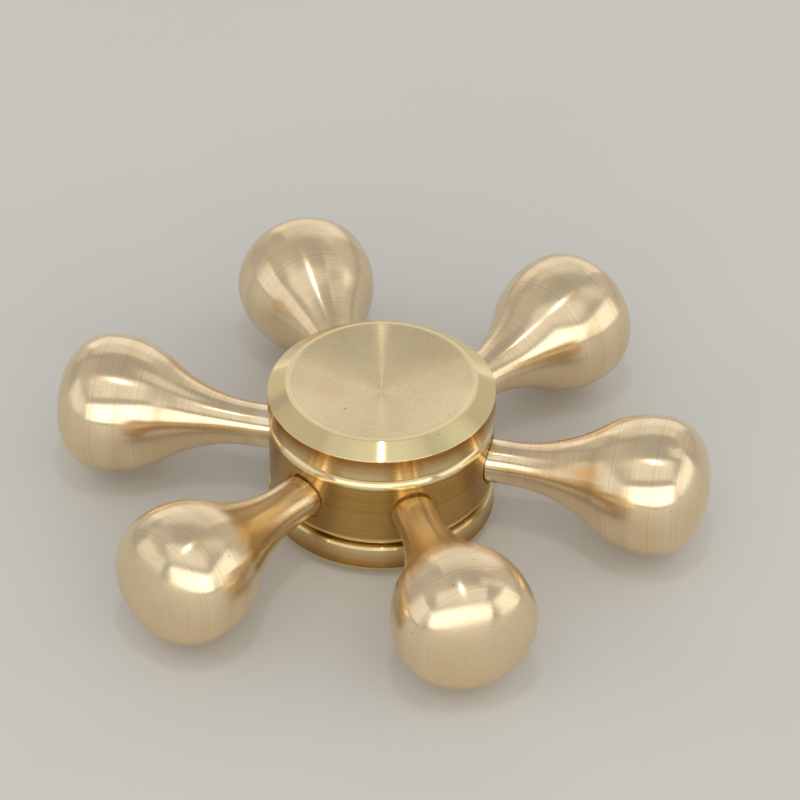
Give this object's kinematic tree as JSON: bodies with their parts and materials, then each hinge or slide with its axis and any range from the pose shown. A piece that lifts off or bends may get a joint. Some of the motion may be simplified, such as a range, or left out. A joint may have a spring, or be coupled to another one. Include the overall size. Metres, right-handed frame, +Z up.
{
  "type": "fidget spinner",
  "caption": "Turned brass fidget spinner: a hub with bulb-ended arms spins on a ball bearing between two dished finger buttons.",
  "frame": {"origin": "middle of the circle that the lower button rests on, on the spin axis", "axes": "+Z up along the spin axis, +X along the first arm"},
  "size_m": [0.0616, 0.056, 0.0148],
  "materials": {
    "button_brass": "satin, finely face-turned, pale champagne gold",
    "hub_brass": "satin, turned",
    "arm_brass": "satin, with fine turning rings round each arm's axis",
    "race_steel": "ground",
    "ball_steel": "lapped and polished",
    "pressed_steel": "pressed, matt"
  },
  "bodies": {
    "buttons": {"top_button": "button_brass", "bottom_button": "button_brass", "bearing_inner_race": "race_steel"},
    "rotor": {"hub": "hub_brass", "arm_1": "arm_brass", "arm_2": "arm_brass", "arm_3": "arm_brass", "arm_4": "arm_brass", "arm_5": "arm_brass", "arm_6": "arm_brass", "bearing_outer_race": "race_steel", "bearing_shield_top": "pressed_steel", "bearing_shield_bottom": "pressed_steel", "shield_ring_top": "pressed_steel", "shield_ring_bottom": "pressed_steel"},
    "cage": {"bearing_cage": "pressed_steel"},
    "ball_1": {"bearing_ball_1": "ball_steel"},
    "ball_2": {"bearing_ball_2": "ball_steel"},
    "ball_3": {"bearing_ball_3": "ball_steel"},
    "ball_4": {"bearing_ball_4": "ball_steel"},
    "ball_5": {"bearing_ball_5": "ball_steel"},
    "ball_6": {"bearing_ball_6": "ball_steel"},
    "ball_7": {"bearing_ball_7": "ball_steel"},
    "ball_8": {"bearing_ball_8": "ball_steel"},
    "ball_9": {"bearing_ball_9": "ball_steel"},
    "ball_10": {"bearing_ball_10": "ball_steel"}
  },
  "joints": [
    {"name": "rotor_spin", "type": "hinge", "parent": "buttons", "child": "rotor", "pos_m": [0, 0, 0.00739], "axis": [0, 0, 1], "continuous": true},
    {"name": "cage_spin", "type": "hinge", "parent": "buttons", "child": "cage", "pos_m": [0, 0, 0.00739], "axis": [0, 0, 1], "continuous": true},
    {"name": "ball_1_roll", "type": "hinge", "parent": "cage", "child": "ball_1", "pos_m": [0.00476, 0, 0.00739], "axis": [0, 0, 1], "continuous": true},
    {"name": "ball_2_roll", "type": "hinge", "parent": "cage", "child": "ball_2", "pos_m": [0.00385, 0.0028, 0.00739], "axis": [0, 0, 1], "continuous": true},
    {"name": "ball_3_roll", "type": "hinge", "parent": "cage", "child": "ball_3", "pos_m": [0.00147, 0.00453, 0.00739], "axis": [0, 0, 1], "continuous": true},
    {"name": "ball_4_roll", "type": "hinge", "parent": "cage", "child": "ball_4", "pos_m": [-0.00147, 0.00453, 0.00739], "axis": [0, 0, 1], "continuous": true},
    {"name": "ball_5_roll", "type": "hinge", "parent": "cage", "child": "ball_5", "pos_m": [-0.00385, 0.0028, 0.00739], "axis": [0, 0, 1], "continuous": true},
    {"name": "ball_6_roll", "type": "hinge", "parent": "cage", "child": "ball_6", "pos_m": [-0.00476, 0, 0.00739], "axis": [0, 0, 1], "continuous": true},
    {"name": "ball_7_roll", "type": "hinge", "parent": "cage", "child": "ball_7", "pos_m": [-0.00385, -0.0028, 0.00739], "axis": [0, 0, 1], "continuous": true},
    {"name": "ball_8_roll", "type": "hinge", "parent": "cage", "child": "ball_8", "pos_m": [-0.00147, -0.00453, 0.00739], "axis": [0, 0, 1], "continuous": true},
    {"name": "ball_9_roll", "type": "hinge", "parent": "cage", "child": "ball_9", "pos_m": [0.00147, -0.00453, 0.00739], "axis": [0, 0, 1], "continuous": true},
    {"name": "ball_10_roll", "type": "hinge", "parent": "cage", "child": "ball_10", "pos_m": [0.00385, -0.0028, 0.00739], "axis": [0, 0, 1], "continuous": true}
  ],
  "couplings": [
    {"joint": "cage_spin", "follows": "rotor_spin", "ratio": 0.58336},
    {"joint": "ball_1_roll", "follows": "rotor_spin", "ratio": 2.9157},
    {"joint": "ball_2_roll", "follows": "rotor_spin", "ratio": 2.9157},
    {"joint": "ball_3_roll", "follows": "rotor_spin", "ratio": 2.9157},
    {"joint": "ball_4_roll", "follows": "rotor_spin", "ratio": 2.9157},
    {"joint": "ball_5_roll", "follows": "rotor_spin", "ratio": 2.9157},
    {"joint": "ball_6_roll", "follows": "rotor_spin", "ratio": 2.9157},
    {"joint": "ball_7_roll", "follows": "rotor_spin", "ratio": 2.9157},
    {"joint": "ball_8_roll", "follows": "rotor_spin", "ratio": 2.9157},
    {"joint": "ball_9_roll", "follows": "rotor_spin", "ratio": 2.9157},
    {"joint": "ball_10_roll", "follows": "rotor_spin", "ratio": 2.9157}
  ]
}
